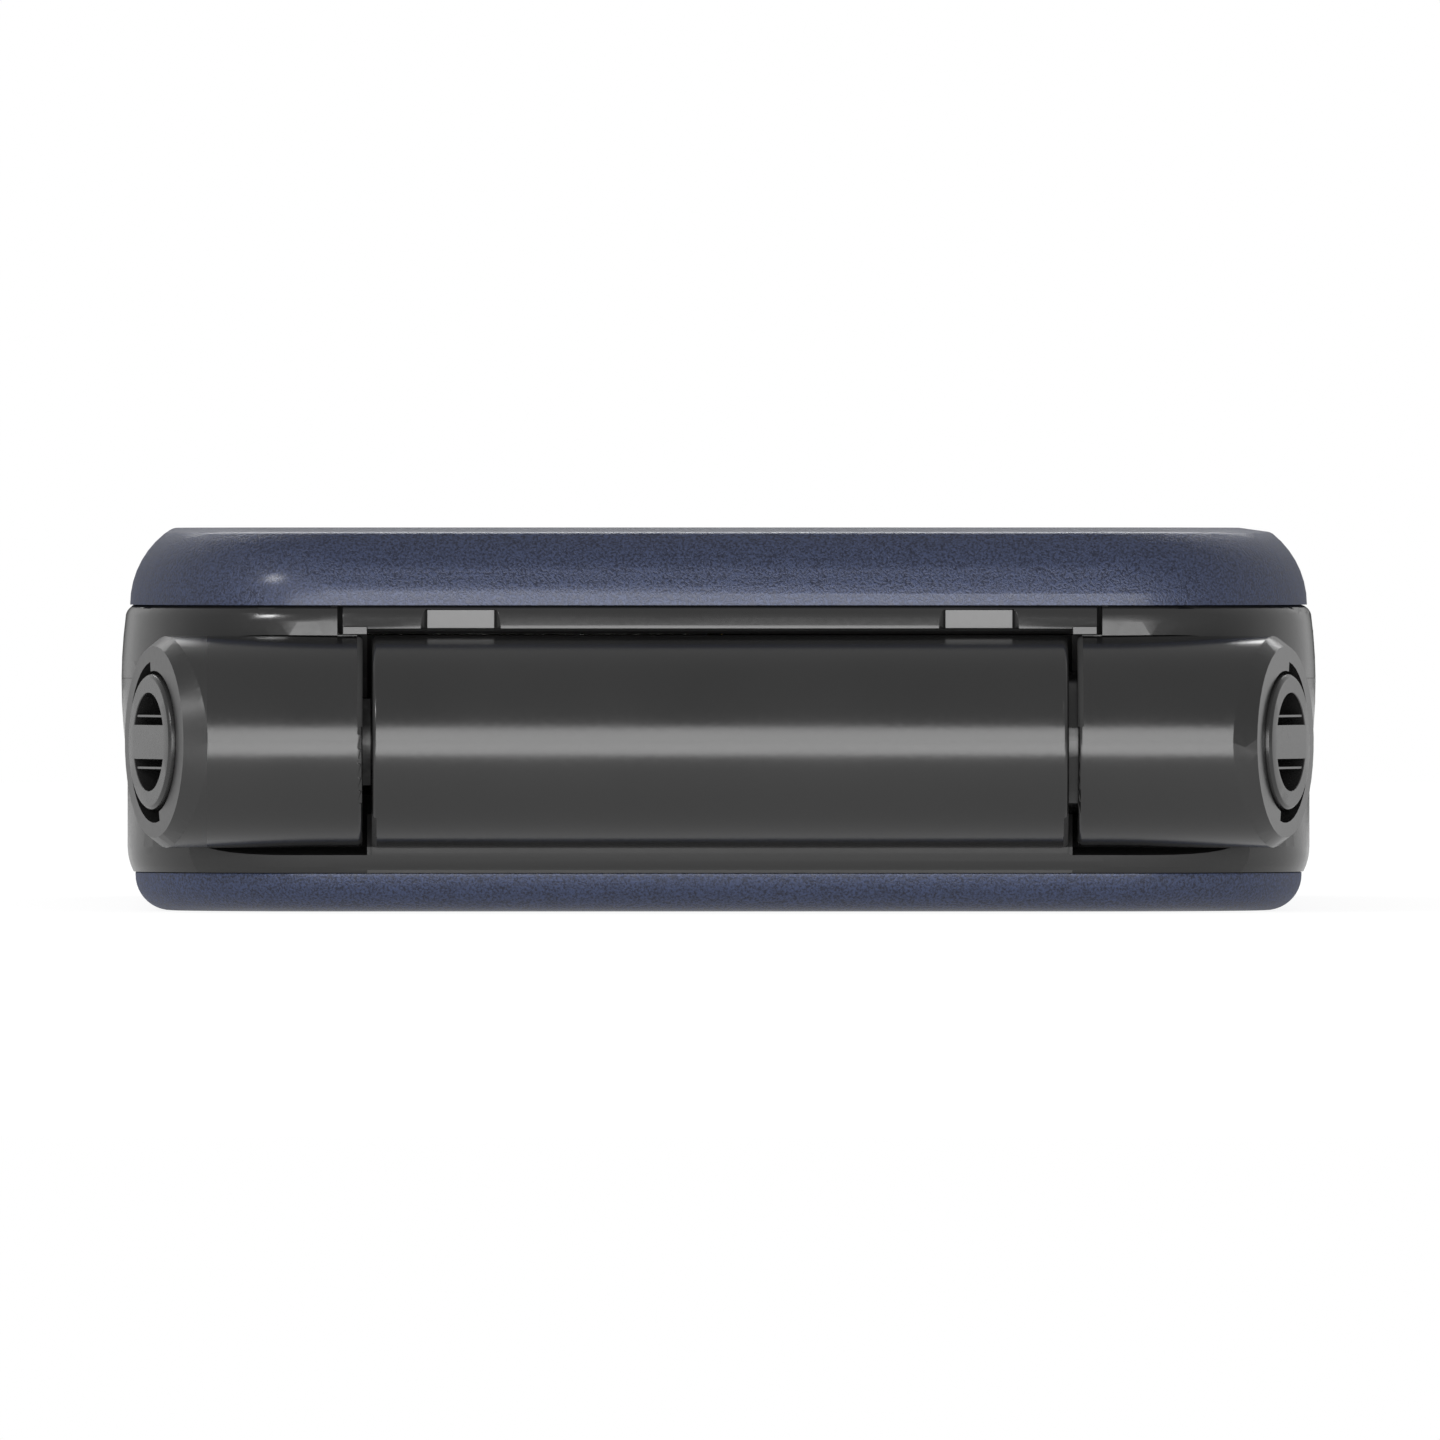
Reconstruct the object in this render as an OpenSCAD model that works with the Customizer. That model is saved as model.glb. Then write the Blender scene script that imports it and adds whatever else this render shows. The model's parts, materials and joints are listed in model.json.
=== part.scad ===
// Flip phone, closed, lying on the outer face of its lid.
// Millimetres. X is the width, +Y runs from the hinge end to the far end, +Z is up.
// The lid is the lower half and carries the centre barrel of the hinge; the keypad
// half lies on it and carries the two outer knuckles, the battery and the keys.

/* [Phone] */
// Overall width at the widest part of the sides
phone_w = 55.5; // [52:0.5:62]
// Overall length, from the hinge barrel to the far end
phone_l = 107; // [100:1:118]
// Overall height when closed
phone_h = 17.6; // [17.2:0.1:19.2]
// Plan radius of the corners beside the hinge
hinge_corner_r = 10; // [8:0.5:11]
// Plan radius of the corners at the far end
far_corner_r = 9; // [7:0.5:12]
// Thickness of the lid half
lid_h = 7.12; // [7:0.05:7.5]
// Air gap between the two closed halves
half_gap = 0.15; // [0.1:0.05:0.3]

/* [Shells] */
// Wall thickness of the housings
wall = 1.3; // [1.1:0.1:1.6]
// Depth of the blue battery cover's side
battery_cover_h = 3.4; // [3.2:0.1:3.8]
// Radius of the battery cover's curved side
battery_cover_r = 4.2; // [4:0.1:4.4]
// Radius of the crest between that side and the flat top
crest_r = 0.7; // [0.5:0.1:1]
// How far the battery cover's side stands in from the housing's
battery_cover_inset = 0.4; // [0.2:0.1:0.6]
// How far the lid housing's side stands in from the keypad housing's
lid_inset = 0.28; // [0.1:0.02:0.5]
// Height of the blue lid cover's side
lid_cover_h = 1.76; // [1.74:0.02:1.9]
// Rounding of the lid cover's outer edge
lid_cover_r = 1.65; // [1:0.05:1.65]
// Rounding that leads from the lid housing's side under to the cover
lid_under_r = 2.6; // [2:0.1:3]
// How far the lid cover's side stands in from the housing's
lid_cover_inset = 0.65; // [0.4:0.05:0.9]
// Thickness of the lid cover's floor
lid_floor = 0.95; // [0.8:0.05:1.1]
// Thickness of the battery cover's top
cover_top = 1; // [0.8:0.1:1.2]
// Height of the parting line between the keypad half's two housings
parting_z = 10.8; // [10.6:0.1:11]
// Radius of the gentle bulge of the keypad half's side
bulge_r = 24; // [20:2:60]
// Height at which that bulge is widest
bulge_z = 10.6; // [9.8:0.1:10.8]

/* [Hinge] */
// Radius of the barrel and the knuckles
barrel_r = 4.9; // [4.7:0.05:5]
// Height of the hinge axis
hinge_z = 7.87; // [7.7:0.01:8]
// Length of the centre barrel
barrel_w = 32.24; // [28:0.5:34]
// Gap between the barrel and each knuckle
knuckle_gap = 0.43; // [0.3:0.01:0.6]
// Clearance between a barrel or knuckle and the cove it turns in
cove_gap = 0.35; // [0.3:0.05:0.5]
// How far both halves' end walls stand out past the hinge axis
end_set = 0.5; // [0.2:0.1:0.8]
// How far each knuckle's slanted end stands in from the side, on the axis
knuckle_in = 2.45; // [2:0.05:3.2]
// Slant of the knuckles' end faces
cap_tilt = 18; // [12:1:20]
// Height of the chamfer at the knuckles' ends
chamfer_h = 0.95; // [0.6:0.05:1.1]
// Radius of the knuckles' flat end face
end_face_r = 4.44; // [4.3:0.02:4.6]
// Radius of the hinge bore and of what is pressed into it
bore_r = 3.3; // [3.1:0.05:3.4]
// Running clearance in the hinge bore
running = 0.05; // [0.03:0.01:0.08]

/* [End caps] */
// Groove between the cap's raised boss and the knuckle
boss_gap = 0.16; // [0.1:0.02:0.3]
// Height of the boss over the knuckle's end face
boss_h = 0.28; // [0.1:0.02:0.4]
// Radius of the two strap pockets' common outline
pocket_r = 2.28; // [2:0.05:2.4]
// Width of the bar that a strap loops round
bar_w = 1.58; // [1.2:0.1:1.9]
// Thickness of that bar
bar_t = 1; // [0.8:0.1:1.3]
// Depth of the pockets
pocket_depth = 2.6; // [2.2:0.1:2.8]

/* [Keypad] */
// Pitch of the three key columns
key_pitch_x = 15.2; // [14:0.2:15.8]
// Pitch of the four number rows
key_pitch_y = 11.2; // [10.4:0.1:11.6]
// Width of a number key
key_w = 13.4; // [11:0.2:13.4]
// Length of a number key
key_l = 9.4; // [8:0.2:9.6]
// Length of a key in the call row
call_key_l = 7; // [6:0.2:7.4]
// Corner radius of the keys
key_r = 1.6; // [0.8:0.2:2.4]
// Outer radius of the navigation ring
nav_r = 9.4; // [8.5:0.1:9.6]
// Radius of the select key inside the ring
ok_r = 4; // [3.5:0.1:4.4]
// How far the keys sit below the keypad's face
key_recess = 0.15; // [0.1:0.05:0.3]
// Gap round each key
key_gap = 0.15; // [0.1:0.05:0.2]
// Travel of a key
key_travel = 0.25; // [0.2:0.05:0.3]

/* [Windows] */
// Frame beside the main display's window
window_side = 4.25; // [4:0.25:6]
// Frame between the main window and the hinge block
window_near = 6.75; // [6.5:0.25:10]
// Frame between the main window and the far end
window_far = 10.5; // [10.5:0.5:16]
// Width of the outer window
outer_window_w = 40; // [36:1:44]
// Length of the outer window
outer_window_l = 50; // [44:1:56]
// Frame between the outer window and the hinge block
outer_window_near = 2.75; // [2:0.25:6]

/* [Hidden] */
$fn = 64;

half_w = phone_w / 2;
end_round = 0.35;                          // rounding of the housings' outer edges
barrel_edge = 0.25;                        // rounding of the barrel's and knuckles' ends
band_round = 0.6;                          // rounding of the rear housing's upper edge
hinge_y = barrel_r - phone_l / 2;          // hinge axis, along the phone
end_y = hinge_y - end_set;                 // outer face of the end walls
far_y = phone_l / 2;                       // outer face of the far end
cove_r = barrel_r + cove_gap;              // coves that the barrel and knuckles turn in
half_barrel = barrel_w / 2;
knuckle_x = half_barrel + knuckle_gap;     // inner faces of the knuckles
knuckle_end = half_w - knuckle_in;         // foot of the chamfer at each knuckle's end
cove_x = half_barrel + knuckle_gap / 2;    // where the coves of the two halves meet
housing_z = lid_h + half_gap;              // keypad face of the upper half
cover_z = phone_h - battery_cover_h;       // parting line under the battery cover
block_y = hinge_y + cove_r + 1.6;          // back of the solid blocks round the hinge
block_z = hinge_z + cove_r - 0.3;          // top of the front housing's hinge block
rim_depth = 5;                             // width of the swept outer walls
seam = 0.05;                               // gap between pieces that are seated together
lap = 0.1;                                 // overlap where shapes of one solid join
beyond = 60;                               // longer than any cut needs

// ---------- shapes shared by the shells ----------

// Plan outline of the phone, moved in by inset
module outline(inset = 0) {
    translate([-half_w + inset, end_y + hinge_corner_r])
        square([2 * (half_w - inset), far_y - far_corner_r - end_y - hinge_corner_r]);
    translate([-half_w + hinge_corner_r, end_y + inset])
        square([2 * (half_w - hinge_corner_r), hinge_corner_r]);
    translate([-half_w + far_corner_r, far_y - far_corner_r])
        square([2 * (half_w - far_corner_r), far_corner_r - inset]);
    for (side = [-1, 1]) {
        translate([side * (half_w - hinge_corner_r), end_y + hinge_corner_r])
            circle(hinge_corner_r - inset);
        translate([side * (half_w - far_corner_r), far_y - far_corner_r])
            circle(far_corner_r - inset);
    }
}

// Straight block of the plan outline between two heights
module slab(inset, z0, z1) {
    translate([0, 0, z0]) linear_extrude(z1 - z0) outline(inset);
}

// Sweeps a profile round the plan outline; its x = 0 runs along the outline
module rim() {
    corner_y = far_y - far_corner_r;
    side_l = corner_y - end_y - hinge_corner_r;
    for (side = [0, 1]) mirror([side, 0, 0]) {
        translate([half_w, corner_y, 0])
            rotate([90, 0, 0]) linear_extrude(side_l) children();
        translate([half_w - far_corner_r, corner_y, 0])
            rotate_extrude(angle = 90) translate([far_corner_r, 0]) children();
        translate([half_w - hinge_corner_r, corner_y - side_l, 0])
            rotate([0, 0, -90]) rotate_extrude(angle = 90)
                translate([hinge_corner_r, 0]) children();
    }
    translate([-half_w + far_corner_r, far_y, 0]) rotate([90, 0, 90])
        linear_extrude(2 * (half_w - far_corner_r)) children();
    translate([half_w - hinge_corner_r, end_y, 0]) rotate([90, 0, -90])
        linear_extrude(2 * (half_w - hinge_corner_r)) children();
}

// Wall profile from z0 to z1, set in by inset, with rounded outer edges
module wall_profile(inset, z0, z1, low_r, high_r) {
    outer = -inset;
    translate([-rim_depth, z0 + low_r])
        square([rim_depth + outer, z1 - z0 - low_r - high_r]);
    translate([-rim_depth, z0]) square([rim_depth + outer - low_r, low_r + lap]);
    translate([-rim_depth, z1 - high_r - lap])
        square([rim_depth + outer - high_r, high_r + lap]);
    intersection() {
        union() {
            translate([outer - low_r, z0 + low_r]) circle(low_r);
            translate([outer - high_r, z1 - high_r]) circle(high_r);
        }
        translate([-rim_depth, z0]) square([rim_depth + outer, z1 - z0]);
    }
}

// Wall profile whose outer face bulges gently, widest at height mid
module bulged_profile(inset, z0, z1, low_r, high_r, mid) {
    intersection() {
        wall_profile(inset, z0, z1, low_r, high_r);
        translate([-inset - bulge_r, mid]) circle(bulge_r, $fn = 256);
    }
}

// Profile whose outer face is one large arc, widest at height mid, which a small
// arc leads over to the flat top. The arcs cross by a hair, so that they never just touch.
module crested_profile(inset, z0, z1, mid, side_r, top_r) {
    hair = 0.002;
    centre = [-inset - side_r, mid];
    rise = z1 - top_r - mid;
    run = sqrt(pow(side_r - top_r, 2) - rise * rise);
    way = [run, rise] / (side_r - top_r);
    crest = centre + [run + hair, rise + hair];
    difference() {
        intersection() {
            translate([-rim_depth, z0]) square([rim_depth, z1 - z0]);
            union() {
                translate(centre) circle(side_r, $fn = 256);
                translate([-rim_depth, z0])
                    square([max(rim_depth - inset - side_r, 0) + lap, z1 - z0]);
            }
        }
        difference() {
            polygon([crest, crest + [0, 2 * top_r], crest + [2 * top_r, 2 * top_r],
                crest + 2 * top_r * way]);
            translate(crest) circle(top_r);
        }
    }
}

// Rounded rectangle in plan, with true arcs at its corners
module soft_rect(w, l, r) {
    square([w, l - 2 * r], center = true);
    square([w - 2 * r, l], center = true);
    for (x = [-1, 1], y = [-1, 1])
        translate([x * (w / 2 - r), y * (l / 2 - r)]) circle(r);
}

// Cylinder along the hinge axis, from x0 to x1
module axle(r, x0, x1) {
    translate([x0, hinge_y, hinge_z]) rotate([0, 90, 0]) cylinder(r = r, h = x1 - x0);
}

// The same with its end edges rounded
module rounded_axle(r, x0, x1, edge) {
    translate([x0, hinge_y, hinge_z]) rotate([0, 90, 0]) rotate_extrude() {
        square([r - edge, x1 - x0]);
        translate([0, edge]) square([r, x1 - x0 - 2 * edge]);
        for (z = [edge, x1 - x0 - edge]) intersection() {
            translate([r - edge, z]) circle(edge);
            square([r, x1 - x0]);
        }
    }
}

// Both halves' coves: under the centre barrel, or under the two knuckles
module centre_cove() {
    axle(cove_r, -cove_x, cove_x);
}

module knuckle_coves() {
    for (side = [0, 1]) mirror([side, 0, 0]) axle(cove_r, cove_x, half_w + lap);
}

// ---------- lid half ----------

window_w = 2 * (half_w - window_side);
window_l = far_y - window_far - block_y - window_near;
window_y = far_y - window_far - window_l / 2;
window_t = 0.95;                           // thickness of the main window
window_recess = 0.05;                      // how far it sits below the lid's face
window_r = 3;
deck_z = lid_h - 1.12;                     // underside of the lid's inner face
ledge = 2;                                 // width of the ledge round a window
outer_window_y = block_y + outer_window_near + outer_window_l / 2;
outer_window_r = 5;
camera_y = outer_window_y - outer_window_l / 2 + 7;
camera_r = 3;
flash_x = 9;
flash_r = 1.5;
display_t = 1.9;
plate_t = 0.4;
plate_z = deck_z - display_t - plate_t;    // underside of the stamped plate
outer_display_t = 1.6;
outer_display_l = outer_window_l - 20;
outer_display_y = outer_window_y + outer_window_l / 2 - outer_display_l / 2 - 4.5;
lid_board_l = 14;
camera_module_w = 9;
earpiece_y = far_y - 7;
earpiece_slot_w = 11;
earpiece_slot_l = 1.8;
bumper_r = 2.1;
bumper_t = 0.5;
bumper_stand = 0.1;                        // how far the bumpers stand out of the face
screw_r = 0.7;
screw_head_r = 1.3;
screw_head_t = 0.8;
post_r = 1.9;
lid_screw_z = lid_h - bumper_t - screw_head_t;
// far posts stand in the corners, clear of the housing's wall
corner_set = (far_corner_r - lid_inset - wall - post_r - 0.15) / sqrt(2);
lid_screw_at = [
    for (x = [-1, 1]) each [
        [x * (half_w - 3.6), block_y + 3],
        [x * (half_w - far_corner_r + corner_set), far_y - far_corner_r + corner_set]
    ]
];
hole_gap = 0.1;                            // clearance of screws, lenses and small parts
flush = 0.05;                              // how far windows sit below a face

module lid_cover() {
    color("midnightblue")
    difference() {
        union() {
            difference() {
                union() {
                    slab(rim_depth - lap, 0, lid_cover_h);
                    rim() wall_profile(lid_cover_inset, 0, lid_cover_h, lid_cover_r, 0.05);
                }
                slab(lid_cover_inset + wall, lid_floor, lid_cover_h + lap);
            }
            for (p = lid_screw_at)
                translate([p.x, p.y, lid_floor - lap])
                    cylinder(r = post_r, h = lid_screw_z - 0.6 - lid_floor + lap);
        }
        translate([0, outer_window_y, -lap]) linear_extrude(lid_floor + 2 * lap)
            soft_rect(outer_window_w, outer_window_l, outer_window_r);
        for (p = lid_screw_at)
            translate([p.x, p.y, lid_floor]) cylinder(r = screw_r, h = lid_h);
        knuckle_coves();
        axle(cove_r, -cove_x - lap, cove_x + lap);
    }
}

module outer_window() {
    color([0.05, 0.05, 0.06])
    difference() {
        translate([0, outer_window_y, flush]) linear_extrude(lid_floor - flush)
            soft_rect(outer_window_w - hole_gap, outer_window_l - hole_gap,
                outer_window_r - hole_gap / 2);
        translate([0, camera_y, 0]) cylinder(r = camera_r + 0.8, h = lid_floor + lap);
        translate([flash_x, camera_y, 0]) cylinder(r = flash_r, h = lid_floor + lap);
    }
}

module outer_display() {
    color("dimgray")
    translate([0, outer_display_y, lid_floor]) linear_extrude(outer_display_t)
        soft_rect(outer_window_w - 6, outer_display_l, 0.5);
}

module camera_ring() {
    color("silver")
    translate([0, camera_y, 0.02]) rotate_extrude() {
        translate([camera_r, 0]) square([0.8 - hole_gap / 2, lid_floor - 0.02]);
        translate([camera_r - 0.6, lid_floor - 0.3]) square([0.8, 0.28]);
    }
}

module camera_lens() {
    color([0.1, 0.1, 0.15])
    translate([0, camera_y, 0.25])
        cylinder(r = camera_r - hole_gap / 2, h = lid_floor - 0.3 - 0.25);
}

module camera_module() {
    color("black")
    difference() {
        translate([0, camera_y, lid_floor]) linear_extrude(2.6)
            soft_rect(camera_module_w, camera_module_w, 0.6);
        translate([0, camera_y, lid_floor - lap]) cylinder(r = 1.2, h = 0.7);
    }
}

module flash_lens() {
    color("white")
    translate([flash_x, camera_y, flush]) {
        cylinder(r = flash_r - hole_gap / 2, h = lid_floor - flush);
        translate([0, 0, lid_floor - flush]) cylinder(r = flash_r + 0.5, h = 0.5);
    }
}

// The barrel is one with the housing: a web fills the space behind and under it
module lid_housing() {
    bottom = lid_cover_h + 0.04;
    lid_under_z = bottom + 1.18;
    color([0.16, 0.16, 0.17])
    difference() {
        union() {
            difference() {
                union() {
                    slab(rim_depth - lap, bottom, lid_h);
                    rim() intersection() {
                        wall_profile(lid_inset, lid_under_z - lid_under_r, lid_h, lid_under_r, end_round);
                        translate([-rim_depth, bottom]) square([rim_depth, lid_h]);
                    }
                }
                difference() {
                    slab(lid_inset + wall, bottom - lap, deck_z);
                    translate([-beyond, end_y, 0])
                        cube([2 * beyond, block_y - end_y, phone_h]);
                }
                knuckle_coves();
            }
            rounded_axle(barrel_r, -half_barrel, half_barrel, barrel_edge);
            translate([-cove_x, hinge_y, bottom])
                cube([2 * cove_x, cove_r + 0.8, lid_h - bottom]);
            for (p = lid_screw_at)
                translate([p.x, p.y, lid_screw_z - 0.6])
                    cylinder(r = post_r + 0.4, h = lid_h - lid_screw_z + 0.55);
        }
        for (side = [-1, 1])
            translate([side * (half_barrel + cove_x) / 2 - (cove_x - half_barrel) / 2,
                hinge_y - cove_r, hinge_z - cove_r])
                cube([cove_x - half_barrel, cove_r, 2 * cove_r]);
        axle(bore_r + running, -cove_x - lap, cove_x + lap);
        // main window's seat and the opening behind it
        translate([0, window_y, lid_h - window_t - window_recess])
            linear_extrude(window_t + 1)
                soft_rect(window_w + hole_gap, window_l + hole_gap, window_r + hole_gap / 2);
        translate([0, window_y, deck_z - lap]) linear_extrude(phone_h)
            soft_rect(window_w - 2 * ledge, window_l - 2 * ledge, 1);
        translate([0, earpiece_y, deck_z - lap]) linear_extrude(phone_h)
            soft_rect(earpiece_slot_w, earpiece_slot_l, earpiece_slot_l / 2 - 0.01);
        for (p = lid_screw_at) translate([p.x, p.y, 0]) {
            cylinder(r = screw_r + hole_gap, h = phone_h);
            translate([0, 0, lid_screw_z]) cylinder(r = screw_head_r + hole_gap, h = phone_h);
            translate([0, 0, lid_h - bumper_t]) cylinder(r = bumper_r + hole_gap, h = phone_h);
        }
    }
}

module main_window() {
    color([0.08, 0.08, 0.09])
    translate([0, window_y, lid_h - window_t - window_recess]) linear_extrude(window_t)
        soft_rect(window_w - hole_gap, window_l - hole_gap, window_r - hole_gap / 2);
}

module main_display() {
    color("slategray")
    translate([0, window_y, deck_z - display_t]) linear_extrude(display_t)
        soft_rect(window_w, window_l - 2, 0.8);
}

module display_plate() {
    color("lightgray")
    translate([0, window_y, plate_z]) linear_extrude(plate_t)
    difference() {
        soft_rect(window_w, window_l - 2, 0.8);
        for (x = [-1, 1], y = [-1, 1])
            translate([x * window_w / 4, y * window_l / 4]) soft_rect(14, 24, 2);
    }
}

module lid_board() {
    color("darkgreen")
    translate([0, earpiece_y - lid_board_l / 2 - 6, plate_z - board_t]) linear_extrude(board_t)
        soft_rect(window_w - 17, lid_board_l, 1);
}

module earpiece() {
    color("gainsboro")
    translate([0, earpiece_y, deck_z - 2]) linear_extrude(2) soft_rect(15, 6, 1.5);
}

module earpiece_mesh() {
    color("gray")
    translate([0, earpiece_y, deck_z]) linear_extrude(lid_h - deck_z - 0.25)
        soft_rect(earpiece_slot_w - hole_gap, earpiece_slot_l - hole_gap,
            (earpiece_slot_l - hole_gap) / 2 - 0.01);
}

module lid_bumpers() {
    color("black")
    for (p = lid_screw_at)
        translate([p.x, p.y, lid_h - bumper_t])
            cylinder(r = bumper_r, h = bumper_t + bumper_stand);
}

module screw(length) {
    translate([0, 0, -length]) cylinder(r = screw_r, h = length + lap);
    difference() {
        cylinder(r = screw_head_r, h = screw_head_t);
        translate([0, 0, screw_head_t / 2]) for (a = [0, 90]) rotate(a)
            translate([-0.7, -0.15, 0]) cube([1.4, 0.3, screw_head_t]);
    }
}

module lid_screws() {
    color("silver")
    for (p = lid_screw_at)
        translate([p.x, p.y, lid_screw_z]) screw(lid_screw_z - lid_floor - 0.5);
}

module lid_magnet() {
    color("gray")
    translate([-half_w + 11, earpiece_y - 2, deck_z - 1.6]) linear_extrude(1.6)
        soft_rect(6, 4, 0.3);
}

cartridge_l = 15;                          // length of the cam cartridge's can
shaft_r = 1.5;                             // round part of its shaft
key_flat = 2;                              // half width across the shaft's flats
key_part_r = 2.6;
shaft_depth = 3.4;                         // how far the shaft reaches into the knuckle

module hinge_can() {
    color("silver")
    difference() {
        axle(bore_r, -half_barrel, -half_barrel + cartridge_l);
        axle(shaft_r + running, -half_barrel - lap, -half_barrel + cartridge_l - 1.5);
        for (a = [0, 120, 240])
            translate([-half_barrel - lap, hinge_y, hinge_z]) rotate([a, 0, 0])
                translate([0, -0.5, 2.3]) cube([0.7, 1, 2]);
    }
}

// ---------- keypad half: housings ----------

face_t = 1.2;                              // thickness of the keypad's face
face_z = housing_z + face_t;               // inside of the keypad's face
strip_end = knuckle_x + 0.92;              // half width of the strip over the barrel
strip_gap = 0.25;                          // gap at each of its ends
strip_z = hinge_z + cove_r;                // its lower edge
strip_t = 1.6;
strip_proud = 0.12;                        // how far it stands out of the end wall
strip_tab = 0.28;                          // how far its end tabs reach down
strip_r = 8.5;                             // curve of its face, from top to bottom
strip_lead = 1.3;                          // how far below its lower edge that curve starts
slot_x = 12;                               // middle of each window in the strip
slot_w = 3.84;
slot_flare = 0.35;                         // how much wider a window is at its mouth
slot_h = 0.88;
slot_depth = 0.5;
pad_w = 3.1;
tray_z = cover_z - 1;                      // underside of the battery deck
jack_nose_r = 2.6;                         // headphone jack, where it fills the side wall
jack_l = 12;
jack_w = 6;
jack_y = far_y - far_corner_r - jack_nose_r - 0.3;
bay_w = 43;
board_open_l = 28.25;                      // open part of the board, hinge block to bay
bay_r = 2;
bay_wall = 1;
bay_near = block_y + board_open_l + bay_wall;
bay_far = jack_y - jack_w / 2 - 0.1 - bay_wall;
bay_l = bay_far - bay_near;
bay_y = (bay_near + bay_far) / 2;            // middle of the battery bay
bay_floor = parting_z + 0.6;
battery_t = 5.2;
battery_gap = 0.3;
board_z = face_z + 1.6;                    // underside of the main board
board_t = 0.8;
board_top = board_z + board_t;
dome_sheet_t = 0.25;
nav_edge = 5.35;                           // hinge block to the navigation ring's edge
nav_y = block_y + nav_edge + nav_r;        // middle of the navigation ring
row_gap = 1.6;                             // between the call row and its neighbours
call_y = nav_y + nav_r + row_gap - 0.3 + call_key_l / 2;
soft_gap = 1.2;                            // web between the ring and the soft keys
soft_l = 13;
crown_r = 60;                              // crown of the keys, across the phone
flange = 0.4;                              // how far a key's flange reaches under the face
flange_t = 0.3;
plunger_r = 1.2;
plunger_z = board_z - dome_sheet_t - key_travel - 0.05;
key_z = housing_z + key_recess;            // touch face of the keys

// Middle of a number row; row 0 is the one nearest the hinge
function number_y(row) =
    call_y + call_key_l / 2 + row_gap + key_l / 2 + row * key_pitch_y;

// Each key: name, x, y, width, length, form
key_list = [
    for (row = [0:3], col = [-1:1])
        [["1", "2", "3", "4", "5", "6", "7", "8", "9", "star", "0", "hash"][3 * row + col + 1],
            col * key_pitch_x, number_y(row), key_w, key_l, "pad"],
    ["send", -key_pitch_x, call_y, key_w, call_key_l, "pad"],
    ["clear", 0, call_y, key_w, call_key_l, "pad"],
    ["end", key_pitch_x, call_y, key_w, call_key_l, "pad"],
    ["soft_left", -1, nav_y, key_pitch_x + key_w / 2, soft_l, "soft"],
    ["soft_right", 1, nav_y, key_pitch_x + key_w / 2, soft_l, "soft"],
    ["nav", 0, nav_y, nav_r, 0, "disc"]
];
keypad_w = 2 * key_pitch_x + key_w - 1.8;  // width of the dome sheet
body_post_r = 2.1;
post_lap = 0.2;                            // how far the middle posts run into the side walls
body_screw_at = [
    for (x = [-1, 1]) each [
        [x * (half_w - 4.2), block_y + 4],
        [x * (half_w - wall - body_post_r + post_lap), (number_y(1) + number_y(2)) / 2],
        [x * (half_w - 5.6), far_y - 5.6]
    ]
];
body_screw_z = cover_z - screw_head_t - 0.1;
hook_at = [-12, 12];                       // battery cover's hooks, across the phone
hook_w = 4;
hook_t = 0.9;
hook_nose = 0.5;                           // how far a hook's nose reaches forward
hook_y = end_y + battery_cover_inset + wall + 0.6 + hook_nose;
hook_z = cover_z - 0.85;                   // foot of the hooks
jack_r = 1.8;                              // bore of the 3.5 mm headphone jack
jack_h = 4.2;
jack_z = tray_z - jack_h / 2;
usb_w = 8.94;
usb_h = 3.16;
usb_l = 7.3;
usb_wall = 0.3;
usb_z = board_top + 0.3;
speaker_x = 9;
speaker_w = 15;
speaker_l = 11;
speaker_y = bay_near - bay_wall - 10 - speaker_l / 2;
sim_w = 16;
sim_l = 9;
sim_y = bay_near - bay_wall - 0.4 - sim_l / 2;
can_w = 20;                                // shield can on the main board
can_l = 12;
speaker_t = 2.3;
grille_r = 0.5;
grille_pitch = 1.9;
volume_y = -4;
volume_l = 20;
volume_h = 2;
volume_z = (parting_z + tray_z) / 2;
volume_proud = 0.3;
mic_x = 8;
mic_y = far_y - 9;

// A knuckle's outer form on the right: a round bar cut by a slanted chamfered end
module knuckle_form(x0) {
    intersection() {
        rounded_axle(barrel_r, x0, half_w + 4, barrel_edge);
        translate([knuckle_end, hinge_y, hinge_z]) rotate([0, 0, -cap_tilt])
            rotate([0, 90, 0]) {
                translate([0, 0, -beyond]) cylinder(r = beyond, h = beyond);
                cylinder(r1 = barrel_r / cos(cap_tilt), r2 = end_face_r, h = chamfer_h);
            }
    }
}

// Places children on the right knuckle's end face, with +Z out of it
module on_end_face() {
    translate([knuckle_end, hinge_y, hinge_z]) rotate([0, 0, -cap_tilt])
        rotate([0, 90, 0]) translate([0, 0, chamfer_h]) children();
}

// The C-shaped slot in the end face, on the side away from the barrel's front
module c_slot() {
    slot_in = bore_r - lap;
    slot_out = bore_r + 0.45;
    depth = 1;
    translate([0, 0, -depth]) rotate([0, 0, -13]) rotate_extrude(angle = 184)
        translate([slot_in, 0]) square([slot_out - slot_in, depth + lap]);
}

module key_openings() {
    for (k = key_list) translate([k[1], k[2], housing_z - lap])
        linear_extrude(face_t + 2 * lap) key_outline(k, key_gap);
}

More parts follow.
